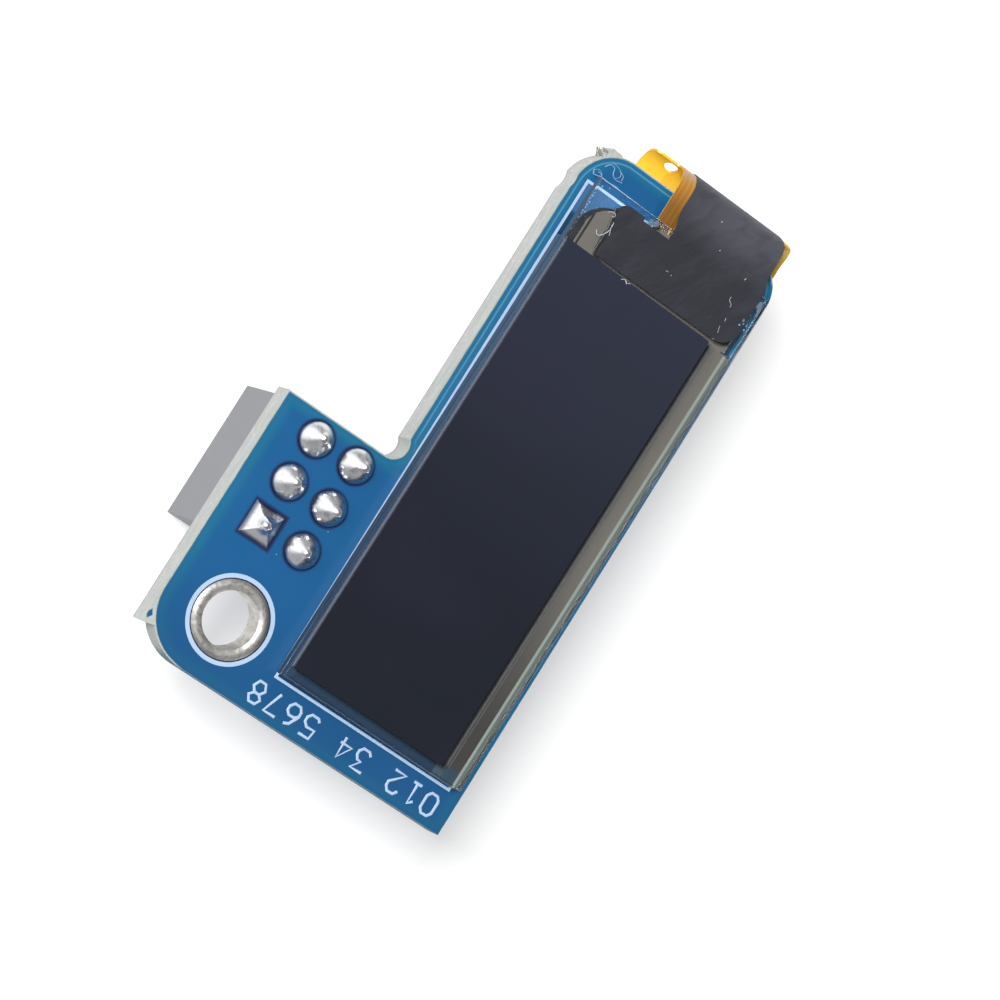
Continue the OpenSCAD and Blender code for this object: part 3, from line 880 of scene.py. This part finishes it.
def film_finish(settings):
    """The panel's layers: dark emitters, and the bus of row traces along the right side."""
    f = Finish("trace_film", roughness=0.4, specular_ior_level=0.3)
    x, y = panel_axes(f)
    ledge = y.over(11.3, 0.1)
    lit = y.over(-6.5, 13.0) * (0.8 + x.over(5.0, 0.8) * 0.2)
    trace = x.wrap(0.06).over(0.018, 0.01)
    left_line = ledge * x.under(-4.86, 0.04)
    near_end = y.under(-14.2, 0.5) * x.under(5.3, 0.1)
    bus = f.layered(
        f.mix(lit.most(ledge), settings.film_shade, settings.film),
        (trace * 0.2, 84, 80, 78),
        # painted light: the strip beside the polarizer's edge is lifted against the polarizer's
        # shadow
        (x.under(4.52, 0.06) * (1.0 - ledge), 156, 154, 157),
        (x.between(4.58, 4.67, 0.05) * 0.7 * (1.0 - ledge), 126, 124, 122),
        (x.between(5.31, 5.47, 0.04), 178, 184, 178),
        (x.over(5.49, 0.04), 128, 136, 128),
        (left_line, 56, 54, 52),
        (left_line * x.under(-4.98, 0.03), 138, 132, 124),
        (near_end * 0.85, 60, 92, 112))
    emitters = f.layered(
        ink(34, 40, 52),
        (y.under(-13.9, 0.9), 44, 70, 98),
        (x.under(-5.2, 0.1) * 0.6, 58, 84, 112))
    f.set("Base Color", f.mix(x.over(3.95, 0.05).most(ledge), emitters, bus))
    return f


def plain_finish(name, light, dark, size=0.5, roughness=0.5, relief=0.01, **constants):
    """A matt material of two mixed tones with a little grain."""
    f = Finish(name, roughness=roughness, **constants)
    grain = f.noise(size, 3.0)
    f.set("Base Color", f.mix(grain, light, dark))
    f.set("Roughness", roughness - 0.08 + grain * 0.16)
    f.relief(f.noise(size / 4, 2.0) * relief)
    return f


class DressPanel(bpy.types.Operator):
    """Gives the glass panel's layers their finish"""

    bl_idname = "oled.dress_panel"
    bl_label = "Dress Panel"

    def execute(self, context):
        settings = context.scene.oled_panel
        dress(glass_finish("front_glass", ink(243, 246, 246)), "display_glass")
        dress(glass_finish("rear_glass", ink(214, 232, 236)), "cap_glass")
        dress(polarizer_finish(settings), "polarizer")
        dress(film_finish(settings), "trace_film")
        dress(plain_finish("edge_resin", ink(62, 62, 58), ink(42, 42, 42)), "edge_seal")
        dress(plain_finish("desiccant", ink(206, 206, 198), ink(188, 188, 182)),
              "desiccant_sheet")
        dress(plain_finish("foam_tape", ink(28, 32, 40), ink(18, 20, 26)), "adhesive_pad")
        dress(plain_finish("silicon", ink(74, 78, 92), ink(58, 60, 74), 2.0, 0.2), "driver_chip")
        return {"FINISHED"}


def corner(node, across, along):
    """A node's outermost vertex toward a corner, in millimetres."""
    mesh = bpy.data.objects[node].data
    best = max(mesh.vertices, key=lambda vertex: vertex.co.x * across + vertex.co.y * along)
    return best.co.x / MM, best.co.y / MM


def margin_finish():
    """Sealing resin on the panel's left margin, its dark blue partly a painted view of the board
    through the clear glass, darker toward the near end, with a painted highlight along the
    polarizer's edge.
    """
    f = Finish("margin_seal_and_highlight", roughness=0.12, specular_ior_level=0.3)
    x, y = panel_axes(f)
    rim = corner("polarizer", -1, 0)[0] - PANEL.x
    f.set("Base Color", f.layered(
        ink(34, 54, 76),
        ((y + f.noise(2.0) * 2.0).over(-3.0, 24.0), 58, 76, 97),
        # painted highlight along the polarizer's edge
        (x.over(rim - 0.02, 0.06), 92, 100, 116)))
    return f


class SealMargin(bpy.types.Operator):
    """Lays the seal on the glass between its left edge and the polarizer"""

    bl_idname = "oled.seal_margin"
    bl_label = "Seal Margin"

    def execute(self, context):
        near, far = corner("polarizer", -1, -1), corner("polarizer", -1, 1)
        outer = corner("display_glass", -1, -1)
        gap = near[0] - outer[0] - 0.02
        ring = [(near[0] - gap, near[1]), (near[0] - 0.01, near[1]),
                (far[0] - 0.01, far[1]), (far[0] - gap, far[1])]
        piece = disc("margin_seal", 4, 1, (0, 0, 0))
        for vertex, place in zip(piece.data.vertices, ring):
            vertex.co = Vector((place[0], place[1], GLASS_TOP)) * MM
        with editing(piece):
            thicken(SEAL_THICKNESS)
        finished(piece, margin_finish(), "seal")
        return {"FINISHED"}


# ---- Flex cable ----


def flex_finish(settings):
    """Amber film, browner where copper runs under it, bare and yellow at the ears, with painted
    light on the inside of the fold.
    """
    f = Finish("polyimide_film", roughness=0.3, specular_ior_level=0.5)
    x, y, z = f.axes()
    across = (x - (FLEX_LOW.x + FLEX_HIGH.x) / 2 - 0.1).size()
    nx, ny, nz = f.axes(f.normal)
    # painted light: the inside of the fold lifted to the bright yellow of film that light shines
    # through
    fold_inside_lit = (ny * (y - FOLD.y) + nz * (z - FOLD.z)).under(0.0, 0.1) * y.over(FOLD.y - 0.1)
    edge = nx.size().over(0.6, 0.2)
    copper = across.under(3.44, 0.05) * (1.0 - edge)
    trace = x.wrap(0.3).over(0.1, 0.05)
    bonded = y.under(21.72, 0.12) * z.over(BOARD_TOP + 0.2, 0.1)
    gilt = (x - 0.06).wrap(0.24).over(0.085, 0.03) * x.over(8.42, 0.04)
    colour = f.layered(
        f.mix(copper, settings.film, settings.neck),
        (copper * trace * 0.25 * (1.0 - fold_inside_lit), 214, 164, 84),
        (copper * z.over(10.5, 0.4) * y.under(23.6, 2.2) * 0.85, 116, 76, 24),
        (fold_inside_lit * 0.8, 255, 204, 62),
        (bonded * 0.85, 92, 82, 78),
        (bonded * gilt, 206, 168, 104),
        (edge * 0.7, 148, 104, 28),
        (y.over(24.4, 0.7) * copper * (1.0 - fold_inside_lit) * 0.5, 170, 150, 130),
        (x.over(13.6, 0.3) * (1.0 - copper) * 0.55, 206, 172, 78))
    f.set("Base Color", colour)
    f.set("Roughness", 0.25 + f.noise(0.8, 2.0) * 0.15)
    f.relief(copper * trace * (1.0 - fold_inside_lit) * 0.008 + f.noise(0.3, 2.0) * 0.006)
    return f


class DressFlex(bpy.types.Operator):
    """Gives the folded flex cable its finish"""

    bl_idname = "oled.dress_flex"
    bl_label = "Dress Flex Cable"

    def execute(self, context):
        dress(flex_finish(context.scene.oled_flex), "flex_cable")
        return {"FINISHED"}


# ---- Tape ----


def tape_finish(settings):
    """Black masking tape: satin, with slanting blotches, creases and lint, and a painted sheen
    toward its far right.
    """
    f = Finish("black_tape", roughness=0.5, specular_ior_level=0.4)
    x, y = f.axes()[:2]
    slanted = f.turned(tuple(PANEL), math.radians(35))
    streak = f.noise(0.62, 3.0, 0.6, vector=f.stretched((1.0, 0.3, 1.0), slanted))
    blotch = f.noise(1.1, 3.0, 0.55, vector=f.stretched((1.0, 0.42, 1.0), slanted), warp=0.6)
    # painted sheen: the tape lighter toward its far right
    far = y.over(22.6, 3.0) * x.over(8.6, 6.0)
    colour = f.layered(
        settings.tape,
        (streak.over(0.55, 0.3) * 0.3, 56, 58, 67),
        (far * 0.6, 84, 85, 94),
        (blotch.over(0.54, 0.22) * 0.35, 33, 34, 41),
        (f.specks(1.2, 0.04, 0.25) * 0.7, 180, 182, 190))
    f.set("Base Color", colour)
    f.set("Roughness", 0.42 + streak * 0.2)
    f.relief(streak * 0.03 + blotch * 0.05 + f.noise(0.08, 2.0) * 0.004)
    return f


class DressTape(bpy.types.Operator):
    """Gives the black tape its finish"""

    bl_idname = "oled.dress_tape"
    bl_label = "Dress Tape"

    def execute(self, context):
        dress(tape_finish(context.scene.oled_flex), "black_tape")
        return {"FINISHED"}


# ---- Glue, lint and the burr ----

GLUE_THREADS = [
    (0.028, [(3.62, 22.04), (3.66, 21.86), (3.73, 21.76), (3.90, 21.74), (3.88, 22.04)]),
    (0.028, [(4.04, 22.43), (4.15, 22.62), (4.29, 22.74), (4.58, 22.68), (4.60, 22.35),
             (4.92, 22.17), (5.31, 22.28)]),
    (0.022, [(4.90, 22.67), (5.10, 22.66), (5.21, 22.57), (5.20, 22.33)]),
    (0.018, [(3.58, 21.90), (3.75, 22.18), (4.12, 22.09), (4.19, 21.81), (4.56, 21.80),
             (4.89, 21.94), (5.29, 21.95)]),
    (0.018, [(4.28, 22.86), (4.65, 22.86), (5.00, 22.68), (5.07, 22.39), (4.81, 22.25)]),
]
LINT = [
    (0.024, [(4.99, 19.32), (5.06, 19.18), (5.20, 19.10), (5.34, 19.22), (5.46, 19.40),
             (5.55, 19.58), (5.60, 19.78), (5.56, 19.98)]),
    (0.018, [(5.02, 20.40), (5.13, 20.50), (5.30, 20.55), (5.43, 20.45), (5.38, 20.30),
             (5.24, 20.32)]),
    (0.02, [(5.55, 20.12), (5.60, 19.95), (5.55, 19.80), (5.66, 19.62), (5.72, 19.43)]),
    (0.018, [(7.50, 17.93), (7.62, 18.05), (7.80, 18.03), (7.88, 17.90)]),
    (0.014, [(7.72, 18.08), (7.76, 17.94), (7.95, 17.98), (8.08, 18.04)]),
    (0.014, [(13.24, 20.60), (13.20, 20.37), (13.50, 20.30), (13.48, 20.10)]),
    (0.012, [(13.55, 19.02), (13.65, 18.65)]),
    (0.014, [(13.62, 19.53), (13.64, 19.35)]),
    (0.018, [(13.36, 21.71), (13.41, 21.84)]),
    (0.018, [(11.42, 22.22), (11.48, 22.28)]),
    (0.018, [(13.58, 18.22), (13.64, 18.28)]),
    (0.016, [(9.38, 19.68), (9.44, 19.73), (9.52, 19.70)]),
    (0.016, [(9.74, 19.62), (9.79, 19.68)]),
]
# painted shadow: a dark flattened thread along the tape's near left edge
TAPE_SHADOW_LINE = [(5.28, 20.83), (5.38, 20.37), (5.50, 19.65), (5.50, 18.93), (5.47, 18.48),
            (5.53, 18.19), (5.80, 18.02), (6.66, 17.96), (7.55, 17.93), (9.5, 17.93)]
# Radius, x and y of each bead of glue, and the same for the chips of glass
DROPS = [(0.05, 3.84, 20.61), (0.04, 3.80, 20.43), (0.05, 3.82, 20.08), (0.04, 3.84, 19.92),
         (0.045, 3.80, 19.71), (0.04, 3.95, 19.71), (0.04, 3.81, 19.56), (0.045, 3.88, 20.25),
         (0.035, 3.80, 19.30), (0.03, 3.83, 19.02), (0.03, 3.79, 18.60), (0.03, 3.85, 18.11),
         (0.025, 3.86, 17.35), (0.035, 3.86, 20.80), (0.04, 3.80, 21.00), (0.045, 3.90, 21.18),
         (0.04, 4.02, 21.30), (0.035, 4.42, 21.44), (0.05, 14.46, 19.67), (0.05, 14.85, 19.59),
         (0.04, 14.62, 19.82), (0.04, 14.72, 20.42), (0.035, 0.21, -3.4), (0.03, 1.9, -1.0)]
CHIPS = [(0.18, 7.32, 21.24), (0.14, 7.60, 21.38), (0.15, 14.88, 21.15), (0.14, 14.98, 20.88),
         (0.10, 15.02, 20.62), (0.08, 14.80, 20.98), (0.07, 14.53, 19.97), (0.07, 14.86, 19.85)]
BURR_FIBRES = 24


def top_at(x, y):
    """Height in millimetres of the highest surface at a place."""
    depsgraph = bpy.context.evaluated_depsgraph_get()
    hit, place, *rest = bpy.context.scene.ray_cast(
        depsgraph, Vector((x, y, 30)) * MM, Vector((0, 0, -1)))
    return place.z / MM if hit else BOARD_TOP


def lying(radius, places):
    """Points of a thread that lies on the highest thing under or just beside it."""
    reach = 0.07
    return [(x, y, max(top_at(x, y), top_at(x + reach, y), top_at(x, y - reach)) + radius * 0.8)
            for x, y in places]


class StrewGlue(bpy.types.Operator):
    """Lays the dried glue, the lint, the fibres torn from the cut board, and a painted shadow along
    the tape's edge
    """

    bl_idname = "oled.strew_glue"
    bl_label = "Strew Glue and Lint"

    def execute(self, context):
        glue = plain_finish("dried_glue", ink(148, 176, 206), ink(104, 142, 182), 0.2, 0.25,
                            specular_ior_level=0.6)
        strings = [thread("glue", lying(radius, places), radius)
                   for radius, places in GLUE_THREADS]
        finished(joined("glue_threads", strings), glue, "adhesive")
        # painted shadow: a dark thread along the tape's edge, where the edge throws shade
        resin = plain_finish("tape_edge_shadow", ink(44, 41, 40), ink(30, 29, 32), 0.2, 0.35)
        rim = [(x, y, GLASS_TOP + 0.09) for x, y in TAPE_SHADOW_LINE]
        finished(thread("tape_rim", rim, 0.09, 0.35), resin, "adhesive")
        finished(joined("glue_drops", [self.bead(*place) for place in DROPS]), glue, "adhesive")
        frosted = plain_finish("chipped_glass", ink(112, 128, 146), ink(76, 92, 112), 0.12, 0.2)
        finished(joined("glass_chips", [self.bead(*place, rough=True) for place in CHIPS]),
                 frosted, "glass")
        lint = plain_finish("white_lint", ink(196, 198, 206), ink(140, 144, 156), 0.2, 0.8)
        hairs = [thread("hair", lying(radius, places), radius) for radius, places in LINT]
        finished(joined("lint", hairs), lint, "adhesive")
        fibre = plain_finish("torn_fibre", ink(150, 140, 130), ink(98, 92, 88), 0.15, 0.8)
        fibres = [self.fibre(number) for number in range(BURR_FIBRES)]
        finished(joined("burr_fibres", fibres), fibre, "board")
        return {"FINISHED"}

    def bead(self, radius, x, y, rough=False):
        """A flat bead of dried glue, or a splinter of glass."""
        bpy.ops.object.select_all(action="DESELECT")
        bpy.ops.mesh.primitive_ico_sphere_add(
            subdivisions=1 if rough else 3, radius=radius * MM,
            location=(x * MM, y * MM, (top_at(x, y) + radius * 0.1) * MM))
        bead = started("bead")
        for vertex in bead.data.vertices:
            spread = vertex.co / (radius * MM)
            lump = 1 + 0.22 * math.sin(3 * spread.x + 40 * x) * math.cos(4 * spread.y + 9 * y)
            vertex.co = (vertex.co.x * lump, vertex.co.y * lump * (1.5 if rough else 1.0),
                         vertex.co.z * (0.2 if rough else 0.4))
        bpy.ops.object.transform_apply(location=True, rotation=False, scale=False)
        if not rough:
            bpy.ops.object.shade_smooth()
        return bead

    def fibre(self, number):
        """One fibre from the torn laminate at the far left corner."""
        share = number / (BURR_FIBRES - 1)
        sway = math.sin(number * 2.4)
        low = BOARD_LOW.z + 0.3 + 1.2 * ((number * 7) % BURR_FIBRES) / BURR_FIBRES
        start = Vector((3.80 + share * 0.5, 22.90 + share * 0.36, low))
        reach = 0.26 + 0.10 * math.cos(number * 1.7)
        end = start + Vector((-0.22 + 0.14 * sway, reach * (1.1 - share * 0.5), 0.1 * sway))
        bend = (start + end) / 2 + Vector((0.05 * sway, -0.03, 0.08))
        return thread("fibre", [tuple(start), tuple(bend), tuple(end)], 0.03)


# ---- Chips on the back ----

CAP_START = 0.5  # where a chip's end caps start, from its middle


def chip_finish(name, body, body_dark):
    """A chip part: its body between two tinned end caps."""
    f = Finish(name, roughness=0.4)
    capped = (f.axes()[1] - middle(name).y).size().over(CAP_START, 0.03)
    grain = f.noise(0.12, 3.0)
    colour = f.mix(grain, body, body_dark)
    f.set("Base Color", f.mix(capped, colour, ink(196, 196, 194)))
    f.set("Metallic", capped)
    f.set("Roughness", 0.45 - capped * 0.15 + grain * 0.1)
    f.relief(grain * 0.012 + capped * 0.01)
    return f


class DressChips(bpy.types.Operator):
    """Gives the capacitors and resistors their finish"""

    bl_idname = "oled.dress_chips"
    bl_label = "Dress Chips"

    def execute(self, context):
        for name in CAPACITORS:
            dress(chip_finish(name, ink(186, 156, 122), ink(168, 136, 102)), name)
        for name in RESISTORS:
            dress(chip_finish(name, ink(30, 30, 34), ink(20, 20, 24)), name)
        return {"FINISHED"}


# ---- Stage ----

WALL = Vector((-0.91, 0.12, 0.40))  # the way to the bright wall
RIM_POWER = 0.35


def seen(tree):
    """1 for the rays that show a thing directly, in a mirror or through glass."""
    path = tree.nodes.new("ShaderNodeLightPath")
    camera, glossy, glass = (Wire(tree, path.outputs[name]) for name in
                             ("Is Camera Ray", "Is Glossy Ray", "Is Transmission Ray"))
    return camera.most(glossy).most(glass)


def aimed(place, target):
    """Rotation that points a lamp from its place at the target."""
    return (Vector(target) - Vector(place)).to_track_quat("-Z", "Y").to_euler()


class SetStage(bpy.types.Operator):
    """Builds the pale floor, the soft studio light and the camera"""

    bl_idname = "oled.set_stage"
    bl_label = "Set Stage"

    def execute(self, context):
        scene = context.scene
        settings = scene.oled_stage
        scene.view_settings.view_transform = "Standard"
        self.floor(settings)
        self.world(scene)
        target = (CAD_CENTRE.x, CAD_CENTRE.y, 0.005)
        self.softbox("key_softbox", (-0.37, 0.055, 0.60), 0.22, settings.key_power, target)
        self.softbox("rim_softbox", (0.55, -0.30, 0.16), 0.10, RIM_POWER, target)
        self.camera(scene, settings)
        return {"FINISHED"}

    def floor(self, settings):
        bpy.ops.object.select_all(action="DESELECT")
        bpy.ops.mesh.primitive_circle_add(vertices=96, radius=2.5, fill_type="NGON",
                                          location=(CAD_CENTRE.x, CAD_CENTRE.y, -0.00002))
        piece = started("floor")
        grey = settings.floor_grey
        f = Finish("studio_floor", roughness=0.9, specular_ior_level=0.1)
        f.set("Base Color", f.mix(f.noise(40.0), (grey,) * 3, (grey * 0.99,) * 3))
        f.set("Emission Color", (1.0, 1.0, 1.0))
        f.set("Emission Strength", seen(f.tree) * settings.floor_lift)
        piece.data.materials.append(f.material)

    def world(self, scene):
        """A wide bright wall on the left, mid grey elsewhere and darker overhead."""
        world = scene.world or bpy.data.worlds.new("studio")
        scene.world = world
        world.use_nodes = True
        tree = world.node_tree
        background = tree.nodes["Background"]
        direction = tree.nodes.new("ShaderNodeTexCoord")
        split = tree.nodes.new("ShaderNodeSeparateXYZ")
        tree.links.new(direction.outputs["Generated"], split.inputs[0])
        x, y, height = (Wire(tree, socket) for socket in split.outputs)
        toward_wall = x * WALL.x + y * WALL.y + height * WALL.z
        overhead = height.over(0.55, 0.5)
        plug(tree, background.inputs["Strength"],
             0.55 - overhead * 0.3 + toward_wall.over(0.78, 0.3))
        background.inputs["Color"].default_value = (0.98, 0.99, 1.0, 1.0)

    def softbox(self, name, place, size, power, target):
        bpy.ops.object.select_all(action="DESELECT")
        bpy.ops.object.light_add(type="AREA", location=place, rotation=aimed(place, target))
        lamp = started(name)
        lamp.data.size = size
        lamp.data.energy = power

    def camera(self, scene, settings):
        bpy.ops.object.camera_add(location=settings.camera_place,
                                  rotation=Euler(settings.camera_turn))
        camera = started("camera")
        camera.data.sensor_width = 36
        camera.data.lens = settings.lens
        camera.data.clip_start = 0.01
        scene.camera = camera


# ---- Panel and registration ----

OPERATORS = (DressBoard, PrintMarks, DressSocket, DrawJoints, DressPanel, SealMargin, DressFlex,
             DressTape, StrewGlue, DressChips, SetStage)
SETTINGS = {"oled_board": BoardSettings, "oled_solder": SolderSettings,
            "oled_panel": PanelSettings, "oled_flex": FlexSettings,
            "oled_stage": StageSettings}


class OledPanel(bpy.types.Panel):
    """Lists the steps and their settings"""

    bl_idname = "VIEW3D_PT_oled_module"
    bl_label = "OLED Module"
    bl_space_type = "VIEW_3D"
    bl_region_type = "UI"
    bl_category = "OLED Module"

    def draw(self, context):
        for operator in OPERATORS:
            self.layout.operator(operator.bl_idname)
        for name, group in SETTINGS.items():
            box = self.layout.box()
            for field in group.__annotations__:
                box.prop(getattr(context.scene, name), field)


def register():
    for group in SETTINGS.values():
        bpy.utils.register_class(group)
    for name, group in SETTINGS.items():
        setattr(bpy.types.Scene, name, bpy.props.PointerProperty(type=group))
    for operator in OPERATORS:
        bpy.utils.register_class(operator)
    bpy.utils.register_class(OledPanel)


def unregister():
    bpy.utils.unregister_class(OledPanel)
    for operator in reversed(OPERATORS):
        bpy.utils.unregister_class(operator)
    for name, group in SETTINGS.items():
        delattr(bpy.types.Scene, name)
        bpy.utils.unregister_class(group)


def main():
    register()
    bpy.ops.oled.dress_board()
    bpy.ops.oled.print_marks()
    bpy.ops.oled.dress_socket()
    bpy.ops.oled.draw_joints()
    bpy.ops.oled.dress_panel()
    bpy.ops.oled.seal_margin()
    bpy.ops.oled.dress_flex()
    bpy.ops.oled.dress_tape()
    bpy.ops.oled.strew_glue()
    bpy.ops.oled.dress_chips()
    bpy.ops.oled.set_stage()


if __name__ == "__main__":
    main()
